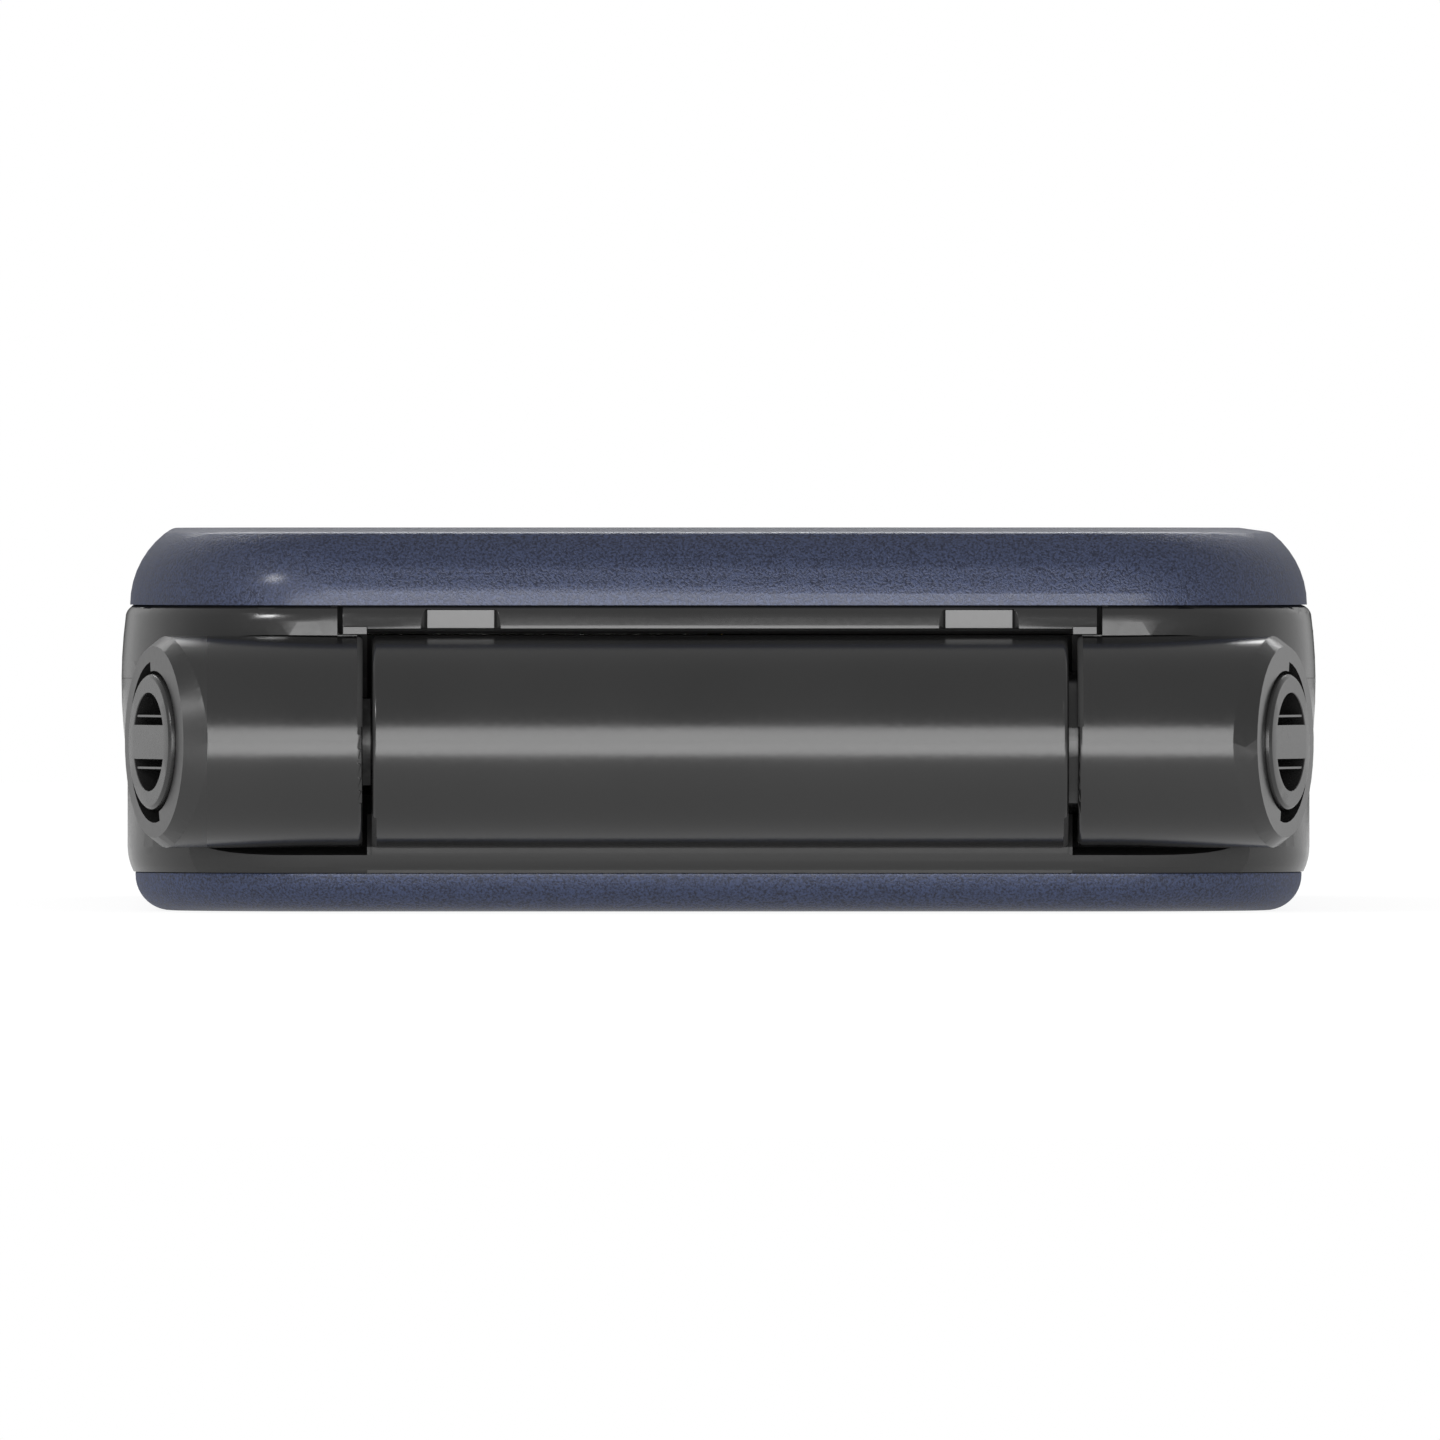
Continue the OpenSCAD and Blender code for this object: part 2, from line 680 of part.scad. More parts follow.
module front_housing() {
    color([0.2, 0.2, 0.21])
    difference() {
        union() {
            difference() {
                union() {
                    slab(rim_depth - lap, housing_z, parting_z);
                    rim() bulged_profile(0, housing_z, parting_z, end_round, 0.05, bulge_z);
                }
                difference() {
                    slab(wall, face_z, parting_z + lap);
                    translate([-beyond, end_y, 0])
                        cube([2 * beyond, block_y - end_y, phone_h]);
                }
            }
            // block round the hinge, up to the band over the knuckles
            intersection() {
                slab(wall + seam, parting_z - lap, block_z);
                translate([-beyond, end_y, 0]) cube([2 * beyond, block_y - end_y, phone_h]);
            }
            for (side = [0, 1]) mirror([side, 0, 0]) knuckle_form(knuckle_x);
            for (p = body_screw_at) translate([p.x, p.y, face_z - lap])
                cylinder(r = body_post_r, h = parting_z - face_z + lap);
        }
        centre_cove();
        for (side = [0, 1]) mirror([side, 0, 0]) {
            translate([cove_x - lap, hinge_y - cove_r, hinge_z - cove_r])
                cube([knuckle_x - cove_x + lap, cove_r, 2 * cove_r]);
            on_end_face() {
                translate([0, 0, -pocket_depth - 0.6])
                    cylinder(r = bore_r, h = pocket_depth + 1);
                c_slot();
            }
        }
        axle(bore_r, cove_x - lap, knuckle_x + shaft_depth);
        intersection() {
            axle(key_part_r + 0.02, -knuckle_x - shaft_depth, -cove_x + lap);
            translate([-beyond, hinge_y - beyond, hinge_z - key_flat - 0.02])
                cube([2 * beyond, 2 * beyond, 2 * key_flat + 0.04]);
        }
        key_openings();
        for (p = body_screw_at) translate([p.x, p.y, face_z - 0.3])
            cylinder(r = screw_r, h = phone_h);
        translate([mic_x, mic_y, housing_z - lap]) cylinder(r = 0.6, h = phone_h);
        port_cuts();
    }
}

// Openings in the side walls for the jack, the charging socket and the volume key
module port_cuts() {
    translate([-half_w - lap, jack_y, jack_z]) rotate([0, 90, 0])
        cylinder(r = jack_nose_r, h = wall + 2 * lap);
    translate([0, far_y + lap, usb_z]) rotate([90, 0, 0]) linear_extrude(wall + 2 * lap)
        soft_rect(usb_w + 0.3, usb_h + 0.3, (usb_h + 0.2) / 2);
    translate([half_w - wall - lap, volume_y, volume_z]) rotate([90, 0, 90])
        linear_extrude(wall + 2 * lap)
            soft_rect(volume_l + 2 * hole_gap, volume_h + 2 * hole_gap, volume_h / 2);
}

module rear_housing() {
    color([0.14, 0.14, 0.15])
    difference() {
        union() {
            difference() {
                union() {
                    slab(rim_depth - lap, parting_z, cover_z);
                    rim() crested_profile(0, parting_z, cover_z, bulge_z, bulge_r, band_round);
                }
                difference() {
                    slab(wall, parting_z - lap, tray_z);
                    translate([-beyond, end_y, 0])
                        cube([2 * beyond, block_y - end_y, phone_h]);
                }
            }
            // battery bay hanging from the deck
            translate([0, bay_y, bay_floor - bay_wall / 2])
                linear_extrude(cover_z - bay_floor + bay_wall / 2)
                    soft_rect(bay_w + 2 * bay_wall, bay_l + 2 * bay_wall, bay_r + bay_wall);
            for (p = body_screw_at) translate([p.x, p.y, parting_z])
                cylinder(r = body_post_r, h = tray_z - parting_z + lap);
        }
        // room for the front housing's hinge block and for its knuckles
        intersection() {
            slab(wall, parting_z - lap, block_z + seam);
            translate([-beyond, end_y, 0]) cube([2 * beyond, block_y + seam - end_y, phone_h]);
        }
        for (side = [0, 1]) mirror([side, 0, 0])
            axle(barrel_r + seam, cove_x - lap, half_w + lap);
        centre_cove();
        // pockets for the battery cover's hooks
        for (x = hook_at) translate([x - hook_w / 2 - lap, hook_y - hook_nose - lap, hook_z - lap])
            cube([hook_w + 2 * lap, hook_nose + hook_t + 2 * lap, cover_z - hook_z + 2 * lap]);
        // seat of the strip over the barrel
        translate([-strip_end - strip_gap, end_y - lap, 0])
            cube([2 * (strip_end + strip_gap), strip_t + lap, cover_z + lap]);
        translate([0, bay_y, bay_floor]) linear_extrude(phone_h) soft_rect(bay_w, bay_l, bay_r);
        for (p = body_screw_at) translate([p.x, p.y, 0]) {
            cylinder(r = screw_r + hole_gap, h = phone_h);
            translate([0, 0, body_screw_z])
                cylinder(r = screw_head_r + hole_gap, h = phone_h);
        }
        // opening over the loudspeaker
        translate([speaker_x, speaker_y, 0]) linear_extrude(phone_h)
            soft_rect(speaker_w - 3, speaker_l - 3, 1);
        // slots for the battery contacts
        translate([0, bay_near, bay_floor + 1.6])
            cube([12.2, 2 * bay_wall + 2 * lap, 3], center = true);
        port_cuts();
    }
}

module battery_cover() {
    color("midnightblue")
    difference() {
        union() {
            slab(rim_depth - lap, cover_z, phone_h);
            rim() crested_profile(battery_cover_inset, cover_z, phone_h, cover_z,
                battery_cover_r, crest_r);
            for (x = hook_at) translate([x - hook_w / 2, hook_y, hook_z]) {
                cube([hook_w, hook_t, cover_z - hook_z + lap]);
                translate([0, -hook_nose, 0]) cube([hook_w, hook_nose + lap, hook_t / 2]);
            }
        }
        difference() {
            slab(battery_cover_inset + wall + 0.6, cover_z - lap, phone_h - cover_top);
            // hooks that reach under the rear housing
            for (x = hook_at) translate([x - hook_w / 2, hook_y, cover_z - lap])
                cube([hook_w, hook_t, phone_h]);
        }
        // grille over the loudspeaker
        for (i = [-2:2], j = [-1:1])
            translate([speaker_x + i * grille_pitch, speaker_y + j * grille_pitch, cover_z])
                cylinder(r = grille_r, h = phone_h, $fn = 24);
        // nail slot at the far end
        translate([0, far_y - battery_cover_inset, cover_z]) rotate([90, 0, 90])
            translate([0, 0, -6]) linear_extrude(12) circle(0.7, $fn = 24);
    }
}

// ---------- keypad half: hinge pieces ----------

// One window of the strip, open at its lower edge and flared towards its mouth
module strip_window(side) {
    slope = (slot_flare) / slot_depth;
    translate([side * slot_x, end_y - strip_proud - lap, strip_z - lap])
        linear_extrude(slot_h + lap)
            polygon([
                [-slot_w / 2 - lap * slope, 0], [slot_w / 2 + lap * slope, 0],
                [slot_w / 2 - slot_flare, slot_depth + lap],
                [-slot_w / 2 + slot_flare, slot_depth + lap]
            ]);
}

module hinge_strip() {
    color([0.13, 0.13, 0.14])
    difference() {
        union() {
            translate([strip_end, end_y - strip_proud, 0]) rotate([90, 0, -90])
                linear_extrude(2 * strip_end) intersection() {
                    crested_profile(0, strip_z - strip_lead, cover_z - 0.02, strip_z - strip_lead,
                        strip_r, band_round);
                    translate([-strip_t - strip_proud, strip_z])
                        square([strip_t + strip_proud, strip_z]);
                }
            for (side = [-1, 1])
                translate([side * (strip_end + cove_x) / 2, end_y - strip_proud + 0.6,
                    strip_z + lap])
                    translate([-(strip_end - cove_x) / 2, -0.6, -strip_tab - lap])
                        cube([strip_end - cove_x, 0.6 + strip_proud, strip_tab + lap]);
        }
        for (side = [-1, 1]) strip_window(side);
        centre_cove();
    }
}

module strip_pads() {
    pad_y = end_y - strip_proud + slot_depth;
    color([0.6, 0.6, 0.6])
    for (side = [-1, 1])
        translate([side * slot_x - pad_w / 2, pad_y - 0.15, strip_z + 0.02])
            cube([pad_w, 0.15, slot_h - 0.04]);
}

boss_r = bore_r - boss_gap;
boss_edge = 0.13;                          // chamfer of the boss

// Cap in the end of a knuckle: a boss with two pockets that meet behind a bar
module hinge_cap() {
    on_end_face() difference() {
        union() {
            translate([0, 0, -pocket_depth - 0.6]) cylinder(r = bore_r, h = pocket_depth);
            translate([0, 0, -1]) cylinder(r = boss_r, h = 1 + boss_h - boss_edge);
            translate([0, 0, boss_h - boss_edge])
                cylinder(r1 = boss_r, r2 = boss_r - boss_edge, h = boss_edge);
        }
        translate([0, 0, -pocket_depth]) difference() {
            cylinder(r = pocket_r, h = beyond);
            translate([-bar_w / 2, -pocket_r, pocket_depth + boss_h - bar_t])
                cube([bar_w, 2 * pocket_r, beyond]);
        }
    }
}

module hinge_cap_right() {
    color("dimgray") hinge_cap();
}

module hinge_cap_left() {
    color("dimgray") mirror([1, 0, 0]) hinge_cap();
}

module hinge_shaft() {
    color("silver")
    union() {
        axle(shaft_r, -half_barrel - knuckle_gap / 2, -half_barrel + cartridge_l - 2);
        intersection() {
            axle(key_part_r, -knuckle_x - shaft_depth + lap, -half_barrel - 0.06);
            translate([-beyond, hinge_y - beyond, hinge_z - key_flat])
                cube([2 * beyond, 2 * beyond, 2 * key_flat]);
        }
    }
}

module hinge_bush() {
    color([0.25, 0.25, 0.26])
    difference() {
        axle(bore_r, half_barrel - 6, knuckle_x + shaft_depth);
        axle(bore_r - 1, half_barrel - 6 - lap, knuckle_x + shaft_depth + lap);
    }
}

// ---------- keypad half: electronics ----------

module battery() {
    color("gray")
    translate([0, bay_y, bay_floor]) linear_extrude(battery_t)
        soft_rect(bay_w - 2 * battery_gap, bay_l - 2 * battery_gap, bay_r - battery_gap);
}

module battery_contacts() {
    color("gold")
    for (i = [-1:1]) translate([i * 3.6 - 0.5, bay_near - 3.4, 0]) {
        translate([0, 0, board_top]) cube([1, 1.6, 0.2]);
        translate([0, 1.4, board_top]) cube([1, 0.2, bay_floor + 1.6 - board_top]);
        translate([0, 1.4, bay_floor + 1.4]) cube([1, 2 + battery_gap - 0.02, 0.2]);
    }
}

module main_board() {
    color("darkgreen")
    difference() {
        slab(wall + 0.6, board_z, board_top);
        translate([-beyond, end_y, 0]) cube([2 * beyond, block_y + 0.3 - end_y, phone_h]);
        for (p = body_screw_at) translate([p.x, p.y, 0])
            cylinder(r = body_post_r + 0.15, h = phone_h);
        translate([-half_w, jack_y - jack_w / 2 - 0.2, 0])
            cube([jack_l + 1.6, jack_w + 0.4, phone_h]);
        translate([-usb_w / 2 - 0.2, far_y - usb_l - 0.6, 0]) cube([usb_w + 0.4, beyond, phone_h]);
    }
}

module shield_can() {
    can_h = 2.2;
    sheet = 0.2;
    color("silver")
    translate([-can_w / 2 - 0.5, sim_y - sim_l / 2 - 0.1 - can_l / 2, board_top]) difference() {
        linear_extrude(can_h) soft_rect(can_w, can_l, 1);
        translate([0, 0, -lap]) linear_extrude(can_h + lap - sheet)
            soft_rect(can_w - 2 * sheet, can_l - 2 * sheet, 0.8);
    }
}

module dome_sheet() {
    color("whitesmoke")
    translate([0, 0, board_z - dome_sheet_t]) linear_extrude(dome_sheet_t)
    difference() {
        translate([-keypad_w / 2, nav_y - nav_r - 1])
            square([keypad_w, number_y(3) + key_l / 2 - nav_y + nav_r + 2]);
        for (x = [-1, 1], i = [0:2])
            translate([x * key_pitch_x / 2, number_y(i) + key_pitch_y / 2]) circle(1.2);
    }
}

module usb_connector() {
    color("silver")
    translate([0, far_y - 0.35, usb_z]) rotate([90, 0, 0]) {
        difference() {
            linear_extrude(usb_l) soft_rect(usb_w, usb_h, usb_h / 2 - 0.01);
            translate([0, 0, -lap]) linear_extrude(usb_l - 0.8)
                soft_rect(usb_w - 2 * usb_wall, usb_h - 2 * usb_wall, usb_h / 2 - usb_wall - 0.01);
        }
        translate([0, 0, 1]) linear_extrude(usb_l - 1.5) square([6.7, 0.7], center = true);
    }
}

module headphone_jack() {
    color("black")
    translate([-half_w + 0.35, jack_y, jack_z]) difference() {
        union() {
            translate([wall - 0.34, -jack_w / 2, -jack_h / 2]) cube([jack_l - wall, jack_w, jack_h]);
            rotate([0, 90, 0]) cylinder(r = jack_nose_r - hole_gap / 2, h = wall - 0.34);
        }
        translate([-lap, 0, 0]) rotate([0, 90, 0]) cylinder(r = jack_r, h = jack_l - 0.6);
        translate([wall - lap, -beyond / 2, tray_z - jack_z]) cube([beyond, beyond, beyond]);
    }
}

module loudspeaker() {
    color("black")
    translate([speaker_x, speaker_y, tray_z - speaker_t]) difference() {
        linear_extrude(speaker_t) soft_rect(speaker_w, speaker_l, 2);
        translate([0, 0, speaker_t - 0.4]) linear_extrude(1)
            soft_rect(speaker_w - 4, speaker_l - 4, 1.5);
    }
}

module speaker_mesh() {
    color("gray")
    translate([speaker_x, speaker_y, tray_z]) linear_extrude(0.3)
        soft_rect(speaker_w - 3 - hole_gap, speaker_l - 3 - hole_gap, 0.9);
}

module microphone() {
    color("silver")
    translate([mic_x, mic_y, face_z]) linear_extrude(board_z - face_z) difference() {
        soft_rect(4, 3, 0.4);
        circle(0.5);
    }
}

module vibration_motor() {
    color("silver")
    translate([16, far_y - 6.6, board_top]) cylinder(r = 2.6, h = tray_z - board_top - 0.1);
}

module sim_socket() {
    color("silver")
    translate([-sim_w / 2 - 4.5, sim_y, board_top]) difference() {
        linear_extrude(1.4) soft_rect(sim_w, sim_l, 0.6);
        translate([0, -0.6, 0.3]) linear_extrude(0.8) square([12.4, sim_l], center = true);
    }
}

module body_screws() {
    color("silver")
    for (p = body_screw_at)
        translate([p.x, p.y, body_screw_z]) screw(body_screw_z - face_z);
}

// ---------- keys ----------

// A key's outline about its own middle, grown by grow
module key_outline(k, grow) {
    if (k[5] == "pad") soft_rect(k[3] + 2 * grow, k[4] + 2 * grow, key_r + grow);
    if (k[5] == "disc") circle(k[3] + grow);
    if (k[5] == "soft") translate([-k[1], 0]) difference() {
        translate([k[1] * k[3] / 2, 0])
            soft_rect(k[3] + 2 * grow, k[4] + 2 * grow, key_r + grow);
        circle(nav_r + soft_gap - grow);
    }
}

// Key cap with a crowned touch face, a flange behind the keypad's face and a plunger
module key(name) {
    k = [for (entry = key_list) if (entry[0] == name) entry][0];
    mid = k[5] == "soft" ? k[1] * (nav_r + soft_gap + k[3]) / 2 : k[1];
    color("dimgray")
    union() {
        intersection() {
            translate([k[1], k[2], key_z]) linear_extrude(face_z - key_z) key_outline(k, 0);
            crown(k[2]);
        }
        translate([k[1], k[2], face_z]) linear_extrude(flange_t) key_outline(k, flange);
        translate([mid, k[2], face_z + flange_t / 2])
            cylinder(r = plunger_r, h = plunger_z - face_z - flange_t / 2);
    }
}

module crown(y) {
    translate([-half_w, y, key_z + crown_r]) rotate([0, 90, 0])
        cylinder(r = crown_r, h = phone_w, $fn = 360);
}

module key_1() { key("1"); }
module key_2() { key("2"); }
module key_3() { key("3"); }
module key_4() { key("4"); }
module key_5() { key("5"); }
module key_6() { key("6"); }
module key_7() { key("7"); }
module key_8() { key("8"); }
module key_9() { key("9"); }
module key_star() { key("star"); }
module key_0() { key("0"); }
module key_hash() { key("hash"); }
module key_send() { key("send"); }
module key_clear() { key("clear"); }
module key_end() { key("end"); }
module key_soft_left() { key("soft_left"); }
module key_soft_right() { key("soft_right"); }

ok_hole = ok_r + key_gap;                  // hole in the ring for the select key

module key_nav() {
    color("silver")
    difference() {
        union() {
            translate([0, nav_y, key_z]) rotate_extrude() {
                translate([ok_hole, 0.15]) square([nav_r - ok_hole, face_z - key_z - 0.15]);
                translate([ok_hole + 0.3, 0]) square([nav_r - ok_hole - 0.6, 0.4]);
            }
            translate([0, nav_y, face_z]) cylinder(r = nav_r + flange, h = flange_t);
            for (a = [0:90:270]) translate([0, nav_y, face_z]) rotate(a)
                translate([(nav_r + ok_hole) / 2, 0]) cylinder(r = plunger_r, h = plunger_z - face_z);
        }
        translate([0, nav_y, 0]) cylinder(r = ok_hole, h = phone_h);
    }
}

module key_ok() {
    ok_flange_z = face_z + flange_t + key_travel + 0.05;
    color("dimgray")
    translate([0, nav_y, 0]) {
        intersection() {
            translate([0, 0, key_z]) cylinder(r = ok_r, h = ok_flange_z - key_z + 0.05);
            translate([0, 0, key_z + crown_r]) sphere(crown_r, $fn = 256);
        }
        translate([0, 0, ok_flange_z]) cylinder(r = ok_r + 0.6, h = flange_t - 0.05);
        translate([0, 0, ok_flange_z]) cylinder(r = plunger_r, h = plunger_z - ok_flange_z);
    }
}

module volume_key() {
    outer_x = half_w + volume_proud;
    flange_x = half_w - wall - 0.05;
    color([0.16, 0.16, 0.17])
    translate([0, volume_y, volume_z]) difference() {
        union() {
            translate([flange_x - 0.35, 0, 0]) rotate([90, 0, 90])
                linear_extrude(outer_x - flange_x + 0.35) soft_rect(volume_l, volume_h, volume_h / 2 - 0.01);
            translate([flange_x - 0.4, -volume_l / 2 - 0.8, -volume_h / 2])
                cube([0.4, volume_l + 1.6, volume_h]);
        }
        translate([outer_x, 0, -volume_h]) cylinder(r = 0.6, h = 2 * volume_h, $fn = 32);
    }
}

lid_cover();
outer_window();
outer_display();
camera_ring();
camera_lens();
camera_module();
flash_lens();
lid_housing();
main_window();
main_display();
display_plate();
lid_board();
earpiece();
earpiece_mesh();
lid_bumpers();
lid_screws();
lid_magnet();
hinge_can();
battery_cover();
rear_housing();
front_housing();
hinge_strip();
strip_pads();
hinge_cap_left();
hinge_cap_right();
hinge_shaft();
hinge_bush();
battery();
battery_contacts();
main_board();
shield_can();
dome_sheet();
usb_connector();
headphone_jack();
loudspeaker();
speaker_mesh();
microphone();
vibration_motor();
sim_socket();
body_screws();
volume_key();
key_1();
key_2();
key_3();
key_4();
key_5();
key_6();
key_7();
key_8();
key_9();
key_star();
key_0();
key_hash();
key_send();
key_clear();
key_end();
key_soft_left();
key_soft_right();
key_nav();
key_ok();
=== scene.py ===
import json
import math
import bpy
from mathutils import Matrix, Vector


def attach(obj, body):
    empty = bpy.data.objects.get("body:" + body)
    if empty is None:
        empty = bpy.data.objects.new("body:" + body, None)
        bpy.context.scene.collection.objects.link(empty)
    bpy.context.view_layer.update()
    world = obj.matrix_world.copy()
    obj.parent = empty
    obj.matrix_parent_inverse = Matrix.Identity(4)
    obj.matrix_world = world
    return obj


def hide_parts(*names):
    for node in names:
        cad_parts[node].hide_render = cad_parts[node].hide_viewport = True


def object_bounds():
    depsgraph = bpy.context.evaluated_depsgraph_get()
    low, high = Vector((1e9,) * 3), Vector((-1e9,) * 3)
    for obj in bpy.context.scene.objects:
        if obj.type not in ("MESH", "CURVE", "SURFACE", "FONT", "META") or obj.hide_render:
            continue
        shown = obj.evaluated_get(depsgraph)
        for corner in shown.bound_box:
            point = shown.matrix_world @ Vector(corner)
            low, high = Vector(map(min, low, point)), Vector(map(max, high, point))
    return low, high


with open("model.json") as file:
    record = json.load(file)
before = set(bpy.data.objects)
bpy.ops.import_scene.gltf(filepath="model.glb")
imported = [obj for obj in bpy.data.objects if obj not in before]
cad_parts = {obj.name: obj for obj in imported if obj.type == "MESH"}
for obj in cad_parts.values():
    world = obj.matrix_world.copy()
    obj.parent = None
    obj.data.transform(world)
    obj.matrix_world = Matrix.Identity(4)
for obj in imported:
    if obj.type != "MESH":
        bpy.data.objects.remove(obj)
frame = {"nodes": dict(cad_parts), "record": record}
cadLow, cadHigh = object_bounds()
nodes = frame["nodes"]
record = frame["record"]
bodyOf = {node: body for body, members in record["behaviour"]["bodies"].items() for node in members}
slotOf = {part["node"]: part["material_slot"] for part in record["subparts"]}
mm = 0.001
print("frame loaded:", len(nodes), "nodes")


def spans(node):  # a node's bounds in mm, as (low, high) in x, y and z
    corners = [corner[:] for corner in nodes[node].bound_box]
    return tuple((min(c[axis] for c in corners) / mm, max(c[axis] for c in corners) / mm)
                 for axis in range(3))


# shader maths

class Wire:  # one output of a node: + - * > < and abs on it add Math nodes
    def __init__(self, owner, socket):
        self.owner = owner
        self.socket = socket

    def maths(self, operation, first, second=0.0):
        return self.owner.node("ShaderNodeMath", {"operation": operation}, {0: first, 1: second})

    def __add__(self, other):
        return self.maths("ADD", self, other)

    def __radd__(self, other):
        return self.maths("ADD", other, self)

    def __sub__(self, other):
        return self.maths("SUBTRACT", self, other)

    def __rsub__(self, other):
        return self.maths("SUBTRACT", other, self)

    def __mul__(self, other):
        return self.maths("MULTIPLY", self, other)

    def __rmul__(self, other):
        return self.maths("MULTIPLY", other, self)

    def __gt__(self, other):
        return self.maths("GREATER_THAN", self, other)

    def __lt__(self, other):
        return self.maths("LESS_THAN", self, other)

    def __abs__(self):
        return self.maths("ABSOLUTE", self)

    def larger(self, other):
        return self.maths("MAXIMUM", self, other)

    def ramp(self, start, end):  # 0 up to the start, 1 from the end
        return self.owner.node("ShaderNodeMapRange", {"clamp": True},
                               {"Value": self, "From Min": start, "From Max": end}, "Result")


class Nodes:  # the node tree of a material or of the world
    def __init__(self, tree):
        self.tree = tree

    def node(self, kind, settings, inputs, output=0):
        made = self.tree.nodes.new(kind)
        for name, value in settings.items():
            setattr(made, name, value)
        for name, value in inputs.items():
            self.join(value, made.inputs[name])
        return Wire(self, made.outputs[output])

    def join(self, value, socket):
        if isinstance(value, Wire):
            self.tree.links.new(value.socket, socket)
        else:
            socket.default_value = value

    def seen(self):  # 1 on rays from the camera, also through clear things
        camera = self.node("ShaderNodeLightPath", {}, {}, "Is Camera Ray")
        return camera.larger(self.node("ShaderNodeLightPath", {}, {}, "Is Transmission Ray"))


class Finish(Nodes):  # a material round one Principled shader
    def __init__(self, name, **fixed):
        self.material = bpy.data.materials.new(name)
        self.material.use_nodes = True
        super().__init__(self.material.node_tree)
        self.shader = self.tree.nodes["Principled BSDF"]
        for socket, value in fixed.items():
            self.shader.inputs[socket.replace("_", " ")].default_value = value
        self.material.diffuse_color = fixed["Base_Color"]

    def feed(self, socket, wire):
        self.join(wire, self.shader.inputs[socket])

    def place(self):  # position on the piece, in metres
        return self.node("ShaderNodeTexCoord", {}, {}, "Object")

    def along(self, axis):
        return self.node("ShaderNodeSeparateXYZ", {}, {"Vector": self.place()}, axis)

    def grains(self, size, detail, ends, rough=0.5):  # noise of that size in metres, 0 to 1 between its ends
        inputs = {"Vector": self.place(), "Scale": 1 / size, "Detail": detail, "Roughness": rough}
        return self.node("ShaderNodeTexNoise", {}, inputs).ramp(*ends)

    def blend(self, factor, first, second):
        return self.node("ShaderNodeMix", {"data_type": "RGBA"}, {0: factor, 6: first, 7: second}, 2)

    def bump(self, height, distance):
        inputs = {"Height": height, "Distance": distance, "Strength": 1.0}
        self.feed("Normal", self.node("ShaderNodeBump", {}, inputs, "Normal"))


def toned(colour, by=1.0):  # a colour made lighter or darker, with its alpha
    return (*(channel * by for channel in colour), 1)


def grey(tone):
    return (tone, tone, tone)


# finishes

paint = {
    # lidPaintedLightGain, the last entry on the next line, is painted light: how much lighter the lid's copy
    # of the paint is made to make up for its shade
    "deep": (0.001, 0.002, 0.01), "light": (0.024, 0.034, 0.074), "lidPaintedLightGain": 2.0,
    "flakes": {"size": 0.00011, "detail": 2.0, "ends": (0.38, 0.62), "rough": 0.7},
    "flakeHeight": 0.000012, "flakesDull": 0.1, "roughness": 0.35, "ior": 1.62, "tint": (0.73, 0.78, 1.0, 1),
    "coat": 0.25, "coatRoughness": 0.17, "worn": (21.5, 27.0), "wornDulls": 0.28,
}


def bluePaint(name="satinBluePaint", paintedLightGain=1.0):  # gain lightens the flakes as painted light; the lid's copy is painted lighter to make up for the shade it lies in
    deep = toned(paint["deep"])
    finish = Finish(name, Base_Color=deep, Roughness=paint["roughness"], IOR=paint["ior"],
                    Specular_Tint=paint["tint"], Coat_Weight=paint["coat"],
                    Coat_Roughness=paint["coatRoughness"])
    flakes = finish.grains(**paint["flakes"])
    aside = finish.along("X")
    worn = (aside * aside).ramp(*((side * mm) ** 2 for side in paint["worn"]))  # duller to both sides
    smoothest = paint["roughness"] - paint["flakesDull"] / 2
    finish.feed("Base Color", finish.blend(flakes, deep, toned(paint["light"], paintedLightGain)))
    finish.feed("Roughness", worn * paint["wornDulls"] + flakes * paint["flakesDull"] + smoothest)
    finish.feed("Coat Weight", (1 - worn) * paint["coat"])
    finish.bump(flakes, paint["flakeHeight"])
    return finish.material


def zone(finish, box):  # 1 within a box given as pairs of bounds in mm, in x, y and z, and 0 outside it
    inside = 1.0
    for axis, (low, high) in zip("XYZ", box):
        along = finish.along(axis)
        inside = (along > low * mm) * (along < high * mm) * inside
    return inside


plastic = {
    "ior": 1.58, "fine": {"size": 0.00025, "detail": 2.0, "ends": (0.3, 0.7)}, "fineDulls": 0.03,
    "broad": {"size": 0.012, "detail": 3.0, "ends": (0.35, 0.65)}, "broadDulls": 0.04,
}


def mouldedPlastic(name, colour, roughness, depth=0.0000025, wear=0.25, matt=()):
    finish = Finish(name, Base_Color=toned(colour), Roughness=roughness, IOR=plastic["ior"])
    fine = finish.grains(**plastic["fine"])
    broad = finish.grains(**plastic["broad"])
    smoothest = roughness - (plastic["broadDulls"] + plastic["fineDulls"]) / 2
    rough = broad * plastic["broadDulls"] + fine * plastic["fineDulls"] + smoothest
    for duller, box in matt:
        rough = rough + zone(finish, box) * duller
    finish.feed("Base Color", finish.blend(broad, toned(colour), toned(colour, 1 + wear)))
    finish.feed("Roughness", rough)
    finish.bump(fine, depth)
    return finish.material


metal = {"grain": {"size": 0.0004, "detail": 4.0, "ends": (0.3, 0.7)}, "grainDulls": 0.12, "darker": 0.82}


def sheetMetal(name, colour, roughness):
    finish = Finish(name, Base_Color=toned(colour), Metallic=1.0, Roughness=roughness)
    grain = finish.grains(**metal["grain"])
    finish.feed("Roughness", grain * metal["grainDulls"] + (roughness - metal["grainDulls"] / 2))
    finish.feed("Base Color", finish.blend(grain, toned(colour), toned(colour, metal["darker"])))
    return finish.material


glass = {
    "black": (0.004, 0.004, 0.005), "display": (0.022, 0.024, 0.03), "border": 0.8,
    "coat": 0.6, "coatRoughness": 0.02,
    "smears": {"size": 0.018, "detail": 4.0, "ends": (0.45, 0.75)}, "smearsDull": 0.05,
}


